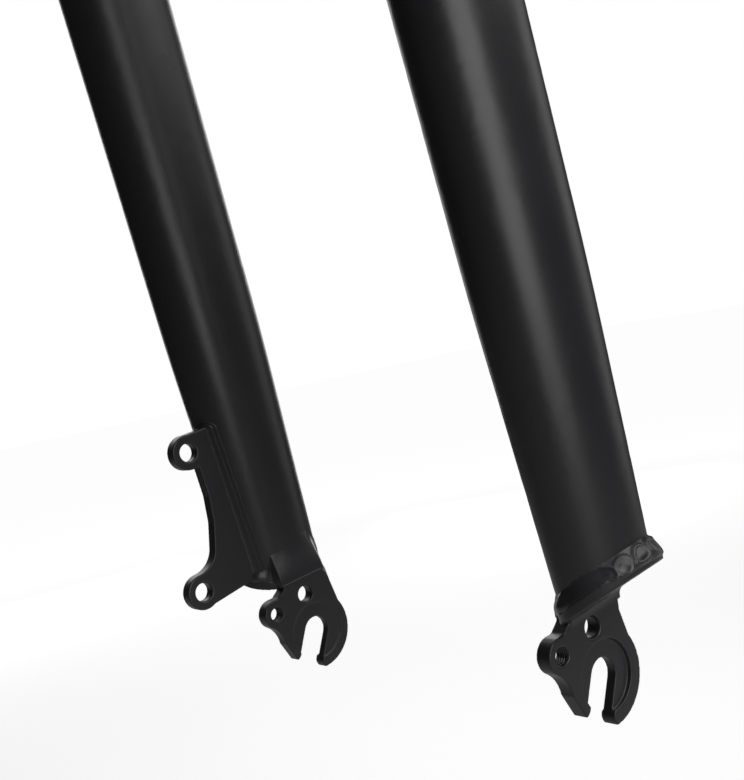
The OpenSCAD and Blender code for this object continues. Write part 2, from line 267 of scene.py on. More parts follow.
def puddle(scales, u, s):
    """Height of overlapping lumps, each with a raised edge where it froze, laid on the last one"""
    best = 0.0
    near = math.floor(u)
    for k in (near - 1, near, near + 1):
        size, shift, lean = scales[k % len(scales)]
        along = (u - k - 0.5 - shift) / SCALE_HALF_LENGTH
        across = 2 * s - 1 - SCALE_MOVE * lean
        r, angle = math.hypot(along, across), math.atan2(across, along)
        twice = TWO_WAVES * math.sin(2 * angle + WAVES_BY_LEAN * lean)
        thrice = THREE_WAVES * math.sin(3 * angle + WAVES_BY_SIZE * size)
        r *= 1 + twice + thrice
        if r < 1:
            edge = EDGE_HEIGHT * math.exp(-(((r - EDGE_RADIUS) / EDGE_WIDTH) ** 2))
            height = (DOME_HEIGHT * (1 - r * r) + edge) * size
            best = max(best, height * min(1, (1 - r) / OUTLINE_RUN))
    return best


def eased(form, turn):
    """Values at an angle round a closed line, eased from one row of a table to the next"""
    turn %= 360
    rows = form + [(form[0][0] + 360, *form[0][1:])]
    for low, high in zip(rows, rows[1:]):
        if low[0] <= turn <= high[0]:
            f = smoothstep((turn - low[0]) / (high[0] - low[0]))
            return [a + (b - a) * f for a, b in zip(low[1:], high[1:])]
    raise ValueError("no row for this angle")


def bead_mesh(name, count, inner, point, closed, across=26):
    """A weld bead with a point for each station and share across, and a hidden line at each edge"""
    rows = []
    for i in range(count):
        row = [point(i, j / across) for j in range(across + 1)]
        row.append(row[-1] + inner[i])
        row.append(row[0] + inner[i])
        rows.append(row)
    return ring_mesh(name, rows, closed)


def pitches(lower, upper, pitch):
    """Place of each station round a closed bead, counted in scales, and the number of scales"""
    middle = [(a + b) / 2 for a, b in zip(lower, upper)]
    place = [0.0]
    for a, b in zip(middle, middle[1:]):
        place.append(place[-1] + (b - a).length)
    total = place[-1] + (middle[0] - middle[-1]).length
    count = round(total / pitch)
    return [p / total * count for p in place], count


def ring_mesh(name, rows, closed):
    """A closed skin through rings of points, run round to its start or capped at its ends"""
    width = len(rows[0])
    points = [tuple(p) for row in rows for p in row]
    last = len(rows) if closed else len(rows) - 1
    faces = []
    for i in range(last):
        a, b = i * width, (i + 1) % len(rows) * width
        for j in range(width):
            k = (j + 1) % width
            faces.append((a + j, a + k, b + k, b + j))
    if not closed:
        faces.append(tuple(range(width - 1, -1, -1)))
        faces.append(tuple(range((len(rows) - 1) * width, len(rows) * width)))
    mesh = bpy.data.meshes.new(name)
    mesh.from_pydata(points, [], faces)
    mesh.validate()
    return mesh


def place_piece(name, mesh, place, side, material):
    """Puts a mesh drawn for the left leg on its leg, and gives it its coat and its body"""
    mesh.transform(place)
    if side < 0:
        mesh.transform(Matrix.Scale(-1, 4, (0, 1, 0)))
    outside_out(mesh)
    mesh.shade_smooth()
    mesh.materials.append(material)
    piece = bpy.data.objects.new(name, mesh)
    bpy.context.scene.collection.objects.link(piece)
    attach(piece, "root")
    return piece


def mesh_points(mesh):
    """The points of a mesh, one row each"""
    points = np.empty(len(mesh.vertices) * 3)
    mesh.vertices.foreach_get("co", points)
    return points.reshape(-1, 3)


def outside_out(mesh):
    """Turns the faces so that their outsides face out"""
    points = mesh_points(mesh)
    mesh.calc_loop_triangles()
    corners = np.empty(len(mesh.loop_triangles) * 3, int)
    mesh.loop_triangles.foreach_get("vertices", corners)
    a, b, c = (points[corners.reshape(-1, 3)[:, k]] for k in range(3))
    if np.einsum("ij,ij->i", a, np.cross(b, c)).sum() < 0:
        mesh.flip_normals()


def softened(node, name, look):
    """A finer copy of a solid, with the soft edges of a coated forging"""
    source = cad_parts[node]
    work = bpy.data.objects.new(name + "_work", source.data.copy())
    bpy.context.scene.collection.objects.link(work)
    remesh = work.modifiers.new("Fine", "REMESH")
    remesh.mode = "VOXEL"
    remesh.voxel_size = look.voxel
    soft = work.modifiers.new("Soft", "SMOOTH")
    soft.factor = 0.5
    soft.iterations = look.soften
    grow = work.modifiers.new("Coat", "DISPLACE")
    grow.direction = "NORMAL"
    grow.mid_level = 0
    grow.strength = look.coat_thickness
    seen = work.evaluated_get(bpy.context.evaluated_depsgraph_get())
    mesh = bpy.data.meshes.new_from_object(seen)
    mesh.name = name
    mesh.materials.clear()
    bpy.data.objects.remove(work)
    return mesh


def new_socket(group, name, kind, out=False, default=None):
    """A named socket on a node group"""
    socket = group.interface.new_socket(name=name, in_out="OUTPUT" if out else "INPUT",
                                        socket_type="NodeSocket" + kind)
    if default is not None:
        socket.default_value = default


def math_node(tree, operation, a, b=None, clamp=False):
    """One Math node with its inputs linked or set, and its output"""
    node = tree.nodes.new("ShaderNodeMath")
    node.operation = operation
    node.use_clamp = clamp
    for socket, value in zip(node.inputs, (a, b)):
        if isinstance(value, (int, float)):
            socket.default_value = value
        elif value is not None:
            tree.links.new(value, socket)
    return node.outputs[0]


# The coat's faint clouds and its specks of dust, each as waves in a metre and levels of detail.
# Then what is added to the way that a face looks up, from -1 to 1, to tell how much dust lies on
# it, and how much of that counts
CLOUD_NOISE, SPECK_NOISE = (28, 4), (420, 3)
DUST_TILT, DUST_GAIN = 0.35, 0.8
# How far the clouds and the dust change the roughness
CLOUD_ROUGH, DUST_ROUGH = 0.14, 0.8


def coat_group():
    """Powder coat: fine waves, faint cloudiness and a little dust on what faces up"""
    if "Powder coat" in bpy.data.node_groups:
        return bpy.data.node_groups["Powder coat"]
    group = bpy.data.node_groups.new("Powder coat", "ShaderNodeTree")
    new_socket(group, "Coat", "Color", default=(0.02, 0.02, 0.02, 1))
    new_socket(group, "Dust", "Color", default=(0.12, 0.12, 0.115, 1))
    new_socket(group, "Dust amount", "Float", default=0.06)
    new_socket(group, "Roughness", "Float", default=0.4)
    new_socket(group, "Grain scale", "Float", default=1100)
    new_socket(group, "Grain height", "Float", default=0.000004)
    new_socket(group, "Colour", "Color", out=True)
    new_socket(group, "Roughness", "Float", out=True)
    new_socket(group, "Normal", "Vector", out=True)
    nodes, links = group.nodes, group.links
    start, end = nodes.new("NodeGroupInput"), nodes.new("NodeGroupOutput")
    place = nodes.new("ShaderNodeTexCoord")

    def noise(scale, detail, source=None):
        texture = nodes.new("ShaderNodeTexNoise")
        texture.inputs["Detail"].default_value = detail
        links.new(place.outputs["Object"], texture.inputs["Vector"])
        if source is None:
            texture.inputs["Scale"].default_value = scale
        else:
            links.new(source, texture.inputs["Scale"])
        return texture.outputs["Fac"]

    waves = noise(0, 2, start.outputs["Grain scale"])
    clouds = noise(*CLOUD_NOISE)
    specks = noise(*SPECK_NOISE)
    facing = nodes.new("ShaderNodeNewGeometry")
    split = nodes.new("ShaderNodeSeparateXYZ")
    links.new(facing.outputs["Normal"], split.inputs[0])
    up = math_node(group, "ADD", split.outputs["Z"], DUST_TILT, True)
    up = math_node(group, "MULTIPLY", up, DUST_GAIN)
    dusty = math_node(group, "MULTIPLY", math_node(group, "MULTIPLY", up, clouds), specks)
    dusty = math_node(group, "MULTIPLY", dusty, start.outputs["Dust amount"], True)
    mix = nodes.new("ShaderNodeMix")
    mix.data_type = "RGBA"
    links.new(dusty, mix.inputs["Factor"])
    links.new(start.outputs["Coat"], mix.inputs["A"])
    links.new(start.outputs["Dust"], mix.inputs["B"])
    links.new(mix.outputs["Result"], end.inputs["Colour"])
    drift = math_node(group, "MULTIPLY", math_node(group, "SUBTRACT", clouds, 0.5), CLOUD_ROUGH)
    drift = math_node(group, "ADD", drift, math_node(group, "MULTIPLY", dusty, DUST_ROUGH))
    rough = math_node(group, "ADD", start.outputs["Roughness"], drift, True)
    links.new(rough, end.inputs["Roughness"])
    bump = nodes.new("ShaderNodeBump")
    bump.inputs["Strength"].default_value = 1
    bump.inputs["Distance"].default_value = 1
    height = math_node(group, "MULTIPLY", waves, start.outputs["Grain height"])
    links.new(height, bump.inputs["Height"])
    links.new(bump.outputs["Normal"], end.inputs["Normal"])
    return group


def coat_material(name, look, tint=1.0, rough=0.0, grain=1.0, dust=0.06):
    """A satin coat with its own tint, roughness and grain"""
    material = bpy.data.materials.new(name)
    material.use_nodes = True
    tree = material.node_tree
    shader = next(n for n in tree.nodes if n.type == "BSDF_PRINCIPLED")
    group = tree.nodes.new("ShaderNodeGroup")
    group.node_tree = coat_group()
    group.inputs["Coat"].default_value = (*(tint * c for c in look.coat), 1)
    group.inputs["Dust amount"].default_value = dust
    group.inputs["Roughness"].default_value = look.roughness + rough
    group.inputs["Grain scale"].default_value = 1 / look.grain
    group.inputs["Grain height"].default_value = grain * look.grain_height
    tree.links.new(group.outputs["Colour"], shader.inputs["Base Color"])
    tree.links.new(group.outputs["Roughness"], shader.inputs["Roughness"])
    tree.links.new(group.outputs["Normal"], shader.inputs["Normal"])
    shader.inputs["Specular IOR Level"].default_value = 0.5
    return material


def recoat(nodes, material):
    """Gives carried-over solids a better material"""
    for node in nodes:
        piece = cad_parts[node]
        piece.data.materials.clear()
        piece.data.materials.append(material)
        piece.data.shade_smooth()


class FORK_OT_blades(bpy.types.Operator):
    """Coat the two blades"""
    bl_idname = "fork.blades"
    bl_label = "Blades"

    def execute(self, context):
        look = context.scene.fork_surface
        recoat(["left_blade", "right_blade"], coat_material("blade_coat", look))
        return {"FINISHED"}


class FORK_OT_crown(bpy.types.Operator):
    """Coat the steerer and the crown boss"""
    bl_idname = "fork.crown"
    bl_label = "Steerer and crown"

    def execute(self, context):
        look = context.scene.fork_surface
        recoat(["crown_boss"], coat_material("crown_coat", look, rough=0.02))
        recoat(["steerer"], coat_material("steerer_coat", look, tint=1.1, rough=-0.05))
        return {"FINISHED"}


# Heights from a cap's underside between which its rim starts to be ground back. Then the heights
# and the distances ahead of the blade's centre line between which its front is also cut back, and
# by how much
GRIND_HEIGHTS = (-0.8 * MM, -0.2 * MM)
CUT_HEIGHTS, CUT_AHEAD = (0.6 * MM, 3.4 * MM), (8 * MM, 15 * MM)
CUT_DEPTH = 1.6 * MM


class FORK_OT_dropouts(bpy.types.Operator):
    """Build the two forged dropouts with softened edges"""
    bl_idname = "fork.dropouts"
    bl_label = "Dropouts"

    def execute(self, context):
        look = context.scene.fork_surface
        coat = coat_material("dropout_coat", look, tint=1.1, rough=0.03, grain=1.4)
        for side in SIDES:
            node = side + "_dropout"
            mesh = softened(node, side + "_forged_dropout", look)
            self.trim(mesh, context.scene.fork_sizes, SIDES[side])
            piece = place_piece(mesh.name, mesh, Matrix.Identity(4), 1, coat)
            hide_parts(node)
        return {"FINISHED"}

    def trim(self, mesh, sizes, sign):
        """Grinds the cap's rim back on the front of the wheel's side"""
        place = leg_to_row(sizes)
        turn, shift = np.array(place.to_3x3()), np.array(place.translation)
        leg = (mesh_points(mesh) * (1, sign, 1) - shift) @ turn
        x, y = trimmed_rim(sizes, leg[:, 0], leg[:, 1])
        under = foot_height(sizes) + np.tan(sizes.foot_slope) * (leg[:, 1] - sizes.blade_track / 2)
        share = eased_share(leg[:, 2], *(under + height for height in GRIND_HEIGHTS))
        leg[:, 0] += (x - leg[:, 0]) * share
        leg[:, 1] += (y - leg[:, 1]) * share
        share = eased_share(leg[:, 2], *(under + height for height in CUT_HEIGHTS))
        share = share * eased_share(leg[:, 0], *CUT_AHEAD)
        leg[:, 0] -= CUT_DEPTH * share
        points = (leg @ turn.T + shift) * (1, sign, 1)
        mesh.vertices.foreach_set("co", points.ravel())
        mesh.update()


class FORK_OT_brake_plate(bpy.types.Operator):
    """Build the disc brake plate with softened edges"""
    bl_idname = "fork.brake_plate"
    bl_label = "Disc brake plate"

    def execute(self, context):
        look = context.scene.fork_surface
        coat = coat_material("brake_plate_coat", look, tint=1.1, rough=0.03, grain=1.4)
        node = "disc_brake_plate"
        mesh = softened(node, "cut_brake_plate", look)
        piece = place_piece(mesh.name, mesh, Matrix.Identity(4), 1, coat)
        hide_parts(node)
        return {"FINISHED"}


# Form of the foot bead at some angles round the foot: zero is the front, 90 the outside, 180 the
# rear and 270 the wheel's side. After the angle come the rise on the blade, the droop over the
# cap's edge and the swell in millimetres, then the share of scales and the share in which the bead
# is smoothed into the blade above it.
FOOT_FORM = [
    (0, 5.4, 2.7, 0.0, 0.35, 0.0),
    (30, 5.4, 2.7, 0.4, 0.8, 0.0),
    (65, 5.2, 2.5, 0.9, 1.0, 0.0),
    (100, 5.0, 2.4, 1.0, 1.0, 0.0),
    (116, 4.9, 2.2, 0.9, 1.0, 0.0),
    (132, 5.0, 0.7, 0.1, 0.1, 0.8),
    (152, 5.4, 0.3, 0.0, 0.0, 1.0),
    (172, 5.0, 0.4, 0.1, 0.0, 0.8),
    (192, 4.6, 0.9, 1.3, 0.1, 0.0),
    (212, 4.6, 0.8, 1.0, 0.1, 0.0),
    (230, 5.2, 0.4, 0.2, 0.0, 0.8),
    (241, 11.0, 0.4, 0.0, 0.0, 1.0),
    (300, 14.0, 0.8, 0.0, 0.0, 1.0),
    (325, 10.0, 1.2, 0.0, 0.0, 0.8),
    (342, 5.6, 1.8, 0.2, 0.2, 0.1),
]


# How far the bead's skin is sunk into the cap and the blade at its two edges, how far its hidden
# side lies within, and how much its outward way leans up
SUNK_LOW, SUNK_HIGH, ROOT_DEPTH, UPWARD_LEAN = 0.1 * MM, 0.06 * MM, 0.9 * MM, 0.3
# Waves of the bead's width round a foot, and how far they change its swell
WANDER_COUNT, WANDER = 41, 0.12
# Moves the swell's crest toward the cap
CREST_LOW = 0.65
# The neck of the dropout carries the bead over these runs, behind its rear and within its front
NECK_REAR_RUN, NECK_FRONT_RUN, NECK_FRONT_PAST = (1.4 * MM, 0.2 * MM), 4 * MM, 0.5 * MM


class FORK_OT_foot_beads(bpy.types.Operator):
    """Lay the weld bead round each blade's foot"""
    bl_idname = "fork.foot_beads"
    bl_label = "Foot beads"

    def execute(self, context):
        sizes, look = context.scene.fork_sizes, context.scene.fork_beads
        # Painted light: the bead wears the blades' coat at 1.5 times its brightness, standing in
        # for the lamp light that the weld puddles catch
        coat = coat_material("foot_bead_painted_light_coat", context.scene.fork_surface, tint=1.5, rough=-0.04)
        for k, (side, sign) in enumerate(SIDES.items()):
            node = side + "_foot_weld"
            mesh = self.bead(side + "_foot_bead", sizes, look, look.seed + k)
            piece = place_piece(mesh.name, mesh, leg_to_row(sizes), sign, coat)
            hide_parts(node)
        return {"FINISHED"}

    def bead(self, name, sizes, look, seed):
        """The bead of the left foot, measured from the axle"""
        stations = 680
        middle_y = sizes.blade_track / 2
        slope = math.tan(sizes.foot_slope)
        plane = cap_top(sizes)
        blade_r = half_depth(sizes, plane)
        cap_x = blade_r + sizes.cap_lip
        cap_y = sizes.oval_ratio * blade_r + sizes.cap_lip
        lower, upper, outward, inner, forms = [], [], [], [], []
        for i in range(stations):
            turn = 2 * math.pi * i / stations
            rise, droop, swell, lumps, smooth = eased(FOOT_FORM, math.degrees(turn))
            way = Vector((math.cos(turn), math.sin(turn), 0))
            low = Vector((cap_x * way.x, middle_y + sizes.cap_outward + cap_y * way.y, 0))
            low.x, low.y = (float(v) for v in trimmed_rim(sizes, low.x, low.y))
            low.y += self.neck_reach(sizes, low)
            low.z = plane + slope * (low.y - middle_y) - droop * MM
            high_z = plane + slope * sizes.oval_ratio * blade_r * way.y + rise * MM
            normal = Vector((way.x / cap_x, way.y / cap_y, 0)).normalized()
            normal = (normal + Vector((0, 0, UPWARD_LEAN))).normalized()
            lower.append(low - normal * SUNK_LOW)
            upper.append(on_blade(sizes, turn, high_z) - normal * SUNK_HIGH)
            outward.append(normal)
            inner.append(-normal * ROOT_DEPTH)
            forms.append((turn, swell * MM, lumps * look.foot_depth, smooth))
        places, count = pitches(lower, upper, look.foot_pitch)
        scales = scale_forms(count, seed)
        waves = scale_forms(WANDER_COUNT, seed + 50)

        def point(i, s):
            """A straight line from edge to edge or a curve that leaves the blade smoothly"""
            turn, swell, depth, smooth = forms[i]
            low, high = lower[i], upper[i]
            straight = low.lerp(high, s)
            fade = 1 - smoothstep(s)
            bent = on_blade(sizes, turn, straight.z) + (low - on_blade(sizes, turn, low.z)) * fade
            bent -= outward[i] * SUNK_HIGH * (1 - fade)
            wander = 1 + WANDER * smooth_noise(waves, WANDER_COUNT * i / stations)
            bow = swell * math.sin(math.pi * s ** CREST_LOW) * wander
            bow += depth * puddle(scales, places[i], s)
            return straight.lerp(bent, smooth) + outward[i] * bow

        return bead_mesh(name, stations, inner, point, True)

    def neck_reach(self, sizes, spot):
        """How much further in the dropout's neck stands than the cap's rim at this spot"""
        if spot.y > sizes.blade_track / 2:
            return 0
        rear = eased_share(spot.x, *(-sizes.neck_rear - run for run in NECK_REAR_RUN))
        front = eased_share(sizes.neck_front + NECK_FRONT_PAST - spot.x, 0, NECK_FRONT_RUN)
        return min(0, sizes.dropout_inner - spot.y) * float(rear * front)


# How far the crown bead's edges are sunk, how much deeper than the corner its hidden side lies, and
# the height and bluntness of its swell
CROWN_SUNK, CROWN_ROOT = 0.15 * MM, 1.15
CROWN_SWELL, CROWN_BLUNT = 0.9 * MM, 0.8
# Angles round the bend between which a blade reaches the boss, in degrees, and the rounds of
# halving that find the place
BEND_RANGE, HALVINGS = (20, 89.9), 40


class FORK_OT_crown_beads(bpy.types.Operator):
    """Lay the weld bead where each blade meets the crown boss"""
    bl_idname = "fork.crown_beads"
    bl_label = "Crown beads"

    def execute(self, context):
        sizes, look = context.scene.fork_sizes, context.scene.fork_beads
        # Painted light: the bead wears the blades' coat at 1.5 times its brightness, standing in
        # for the lamp light that the weld puddles catch
        coat = coat_material("crown_bead_painted_light_coat", context.scene.fork_surface, tint=1.5, rough=-0.04)
        for k, (side, sign) in enumerate(SIDES.items()):
            node = side + "_crown_weld"
            mesh = self.bead(side + "_crown_bead", sizes, look, look.seed + 10 + k)
            piece = place_piece(mesh.name, mesh, Matrix.Identity(4), sign, coat)
            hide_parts(node)
        return {"FINISHED"}

    def bead(self, name, sizes, look, seed):
        """The bead of the left blade's end, in the fork's own frame"""
        stations = 440
        place = leg_to_row(sizes)
        bend_r, bend_z = sizes.blade_track / 2, bend_height(sizes)
        half_x = sizes.depth_top / 2
        half_r = sizes.oval_ratio * half_x

        def on_bend(turn, angle, grow):
            """Point at an angle round the blade's oval and one round its bend"""
            reach = bend_r + (half_r + grow) * math.sin(turn)
            spot = Vector(((half_x + grow) * math.cos(turn), reach * math.cos(angle),
                           bend_z + reach * math.sin(angle)))
            return place @ spot

        def meets(turn, radius, grow):
            """Point where a line along the blade comes within a radius of the steerer axis"""
            low, high = (math.radians(angle) for angle in BEND_RANGE)
            for _ in range(HALVINGS):
                angle = (low + high) / 2
                spot = on_bend(turn, angle, grow)
                if math.hypot(spot.x, spot.y) > radius:
                    low = angle
                else:
                    high = angle
            return on_bend(turn, low, grow)

        lower, upper, outward, inner = [], [], [], []
        for i in range(stations):
            turn = 2 * math.pi * i / stations
            on_boss = meets(turn, sizes.boss_radius, look.crown_width)
            on_leg = meets(turn, sizes.boss_radius + look.crown_run, 0)
            corner = meets(turn, sizes.boss_radius, 0)
            normal = ((on_boss - corner).normalized() + (on_leg - corner).normalized()).normalized()
            lower.append(on_boss - normal * CROWN_SUNK)
            upper.append(on_leg - normal * CROWN_SUNK)
            outward.append(normal)
            inner.append((corner - (on_boss + on_leg) / 2) * CROWN_ROOT)
        places, count = pitches(lower, upper, look.crown_pitch)
        scales = scale_forms(count, seed)

        def point(i, s):
            swell = CROWN_SWELL * math.sin(math.pi * s) ** CROWN_BLUNT
            swell += look.crown_depth * puddle(scales, places[i], s)
            return lower[i].lerp(upper[i], s) + outward[i] * swell

        return bead_mesh(name, stations, inner, point, True)


# Toe of the brake plate's bead: how far past the crest in millimetres, and the height there as a
# share of the crest's. A groove lies under the crest.
PLATE_TOE = [(0, 1.0), (0.1, 0.97), (0.2, 0.75), (0.3, 0.2), (0.4, -0.3), (0.55, -0.4),
             (0.72, 0.05), (0.95, 0.1), (1.3, -0.1)]
# Radius of the turn over the plate's corners, length of a step along the plate, and the steps round
# a corner and across the plate's end
PLATE_CORNER, PLATE_STEP = 1.2 * MM, 0.35 * MM
CORNER_STEPS, END_STEPS = 8, 6
# Width of the bead at the plate's upper edge and how much wider it is at its foot, as shares, and
# how far and how often, in steps, the width wavers
WIDTH_AT_TOP, WIDER_BELOW = 0.8, 0.3
WAVER, WAVER_STEPS = 0.08, 9
# How far the bead's crest leans outward; where its skin starts on the plate and bends, in widths;
# how far it is sunk into the plate, and how much deeper than the corner its hidden side lies
CREST_LEAN = 0.8
PLATE_START, PLATE_BEND = -1.25, -0.35
PLATE_SUNK, PLATE_ROOT = 0.04 * MM, 1.1


class FORK_OT_plate_bead(bpy.types.Operator):
    """Lay the weld bead along the disc brake plate"""
    bl_idname = "fork.plate_bead"
    bl_label = "Plate bead"

    def execute(self, context):
        sizes, look = context.scene.fork_sizes, context.scene.fork_beads
        coat = coat_material("plate_bead_coat", context.scene.fork_surface, tint=1.1)
        mesh = self.bead("brake_plate_bead", sizes, look, look.seed + 20)
        piece = place_piece(mesh.name, mesh, leg_to_row(sizes), 1, coat)
        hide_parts("disc_plate_weld")
        return {"FINISHED"}

    def path(self, sizes):
        """Points and outward ways round the end of the plate, up one side, over and down"""
        y0 = sizes.plate_inner
        y1 = y0 + sizes.plate_thickness
        top, bottom, r = sizes.plate_top, sizes.plate_bottom, PLATE_CORNER

        def corner(middle, start):
            """Points round a corner of the plate's end, from a starting angle"""
            for i in range(CORNER_STEPS + 1):
                a = start - math.pi / 2 * i / CORNER_STEPS
                way = (math.cos(a), math.sin(a))
                yield (middle + r * way[0], top - r + r * way[1]), way

        runs = int((top - r - bottom) / PLATE_STEP)
        heights = [bottom + (top - r - bottom) * i / runs for i in range(runs)]
        spots = [((y0, z), (-1, 0)) for z in heights]
        spots += corner(y0 + r, math.pi)
        for i in range(1, END_STEPS):
            spots.append(((y0 + r + (y1 - y0 - 2 * r) * i / END_STEPS, top), (0, 1)))
        spots += corner(y1 - r, math.pi / 2)
        spots += [((y1, z), (1, 0)) for z in reversed(heights)]
        return spots

    def bead(self, name, sizes, look, seed):
        """The bead of the left leg's plate, measured from the axle"""
        waves = scale_forms(97, seed)
        toe, rise = zip(*PLATE_TOE)
        lines, inner = [], []
        path = self.path(sizes)
        for i, ((y, z), way) in enumerate(path):
            below = (sizes.plate_top - z) / (sizes.plate_top - sizes.plate_bottom)
            width = look.plate_width * (WIDTH_AT_TOP + WIDER_BELOW * min(1, max(0, below)))
            width *= 1 + WAVER * smooth_noise(waves, i / WAVER_STEPS)
            corner = behind_blade(sizes, y, z)
            up = Vector((-1, CREST_LEAN * way[0], CREST_LEAN * way[1])).normalized()
            run = []
            for past, high in zip(toe, rise):
                reach = width + past * MM
                run.append(behind_blade(sizes, y + reach * way[0], z + reach * way[1])
                           + up * high * look.plate_swell)
            side = Vector((0, way[0], way[1]))
            start = corner + Vector((PLATE_START * width, 0, 0)) - side * PLATE_SUNK
            lines.append((start, corner + Vector((PLATE_BEND * width, 0, 0)), run))
            inner.append((corner - (run[0] + start) / 2) * PLATE_ROOT)

        def point(i, s):
            """A curve from the plate to the crest for the first half, then the toe on the blade"""
            start, bend, run = lines[i]
            if s <= 0.5:
                t = s / 0.5
                return start * (1 - t) ** 2 + bend * 2 * t * (1 - t) + run[0] * t * t
            k = (s - 0.5) / 0.5 * (len(run) - 1)
            j = min(len(run) - 2, int(k))
            return run[j].lerp(run[j + 1], k - j)

        return bead_mesh(name, len(path), inner, point, False, 2 * (len(toe) - 1))


# Pitch and depth of the thread, how far it stays short of each face of the dropout, the run over
# which it fades out there, how far it is sunk into the eyelet's wall, and how thick it is behind
PITCH, TOOTH, SHORT_OF_FACE = 0.8 * MM, 0.36 * MM, 0.45 * MM
RUN_OUT, THREAD_SUNK, THREAD_BACK = 0.5 * MM, 0.05 * MM, 0.4 * MM
# The ridge is a zigzag, made steeper and lowered by these so that its crests and valleys are flat
RIDGE_GAIN, RIDGE_CUT = 1.35, 0.15
THREAD_AROUND, THREAD_ALONG = 64, 96


class FORK_OT_threads(bpy.types.Operator):
    """Cut the thread of each eyelet"""
    bl_idname = "fork.threads"
    bl_label = "Eyelet threads"

    def execute(self, context):
        sizes = context.scene.fork_sizes
        look = context.scene.fork_surface
        coat = coat_material("thread_coat", look, tint=1.6, rough=-0.1, dust=0)
        for side, sign in SIDES.items():
            mesh = self.thread(side + "_eyelet_thread", sizes)
            place_piece(mesh.name, mesh, leg_to_row(sizes), sign, coat)
        return {"FINISHED"}

    def thread(self, name, sizes):
        """The thread of the left eyelet, measured from the axle"""
        wall = sizes.eyelet_radius
        y0 = sizes.dropout_inner + SHORT_OF_FACE
        y1 = sizes.dropout_inner + sizes.dropout_thickness - SHORT_OF_FACE
        centre = Vector((-sizes.eyelet_back, 0, sizes.eyelet_up))
        rows = []
        for i in range(THREAD_AROUND):
            turn = 2 * math.pi * i / THREAD_AROUND
            way = Vector((math.cos(turn), 0, math.sin(turn)))
            row = []
            for j in range(THREAD_ALONG + 1):
                y = y0 + (y1 - y0) * j / THREAD_ALONG
                phase = (y - y0) / PITCH + i / THREAD_AROUND
                f = phase - math.floor(phase)
                ridge = max(0, min(1, RIDGE_GAIN * (1 - abs(2 * f - 1)) - RIDGE_CUT))
                fade = min(1, (y - y0) / RUN_OUT, (y1 - y) / RUN_OUT)
                r = wall + THREAD_SUNK - TOOTH * ridge * fade
                row.append(centre + way * r + Vector((0, y, 0)))
            for y in (y1, y0):
                row.append(centre + way * (wall + THREAD_BACK) + Vector((0, y, 0)))
            rows.append(row)
        return ring_mesh(name, rows, True)


# Distances over which the floor's glow changes from near to far, in lamp distances
GLOW_RUN = (0.4, 1.3)


def floor_material(look):
    """A pale matt floor that the camera sees lighter than it is, the more so the further out"""
    material = bpy.data.materials.new("floor_paper")
    material.use_nodes = True
    tree = material.node_tree
    shader = next(n for n in tree.nodes if n.type == "BSDF_PRINCIPLED")
    shader.inputs["Base Color"].default_value = (*(look.floor_grey,) * 3, 1)
    shader.inputs["Roughness"].default_value = 0.9
    shader.inputs["Specular IOR Level"].default_value = 0.1
    place, reach = tree.nodes.new("ShaderNodeTexCoord"), tree.nodes.new("ShaderNodeVectorMath")
    reach.operation = "LENGTH"
    tree.links.new(place.outputs["Object"], reach.inputs[0])
    share = tree.nodes.new("ShaderNodeMapRange")
    share.interpolation_type = "SMOOTHSTEP"
    share.inputs["From Min"].default_value = GLOW_RUN[0] * look.lamp_distance
    share.inputs["From Max"].default_value = GLOW_RUN[1] * look.lamp_distance
    share.inputs["To Min"].default_value = look.near_glow
    share.inputs["To Max"].default_value = look.far_glow
    tree.links.new(reach.outputs["Value"], share.inputs["Value"])
    light_path = tree.nodes.new("ShaderNodeLightPath")
    glow, add = tree.nodes.new("ShaderNodeEmission"), tree.nodes.new("ShaderNodeAddShader")
    seen = math_node(tree, "MULTIPLY", light_path.outputs["Is Camera Ray"], share.outputs["Result"])
    tree.links.new(seen, glow.inputs["Strength"])
    out = next(n for n in tree.nodes if n.type == "OUTPUT_MATERIAL")
    tree.links.new(shader.outputs[0], add.inputs[0])
    tree.links.new(glow.outputs[0], add.inputs[1])
    tree.links.new(add.outputs[0], out.inputs["Surface"])
    return material


# Name of a lamp, its angle round the fork from straight ahead and its height angle in degrees, its
# width and height in metres, and its watts
LAMPS = [
    ("key_lamp", 267, 17, (0.5, 1.2), 2.2),
    ("front_right_lamp", 314, 43, (0.7, 0.7), 1.1),
    ("front_lamp", 348, 15, (0.4, 1.1), 0.32),
    ("front_left_lamp", 40, 20, (0.4, 1.1), 1.2),
    ("left_lamp", 80, 20, (0.5, 1.1), 1.1),
    ("top_lamp", 0, 90, (0.9, 0.9), 0.8),
]


# Half of the floor's width in metres, and how far down the lamps aim, as a share of the way to
# the axle
FLOOR_HALF = 6.0
AIM_HEIGHT = 0.8
# The photograph's viewpoint, measured from the axle with Z along the blades: where the camera
# stands in millimetres, the ways that are right, down and ahead in its picture, and its lens for
# a picture 36 mm wide
CAMERA_PLACE = (-213.71877539, -274.26587647, 128.45815442)
CAMERA_RIGHT = (0.73738087, -0.62144574, -0.26471616)
CAMERA_DOWN = (-0.27593257, 0.08057981, -0.95779336)
CAMERA_AHEAD = (0.61654738, 0.77930231, -0.11205911)
PICTURE_WIDTH, LENS = 36, 49.8716
NEAREST = 0.01


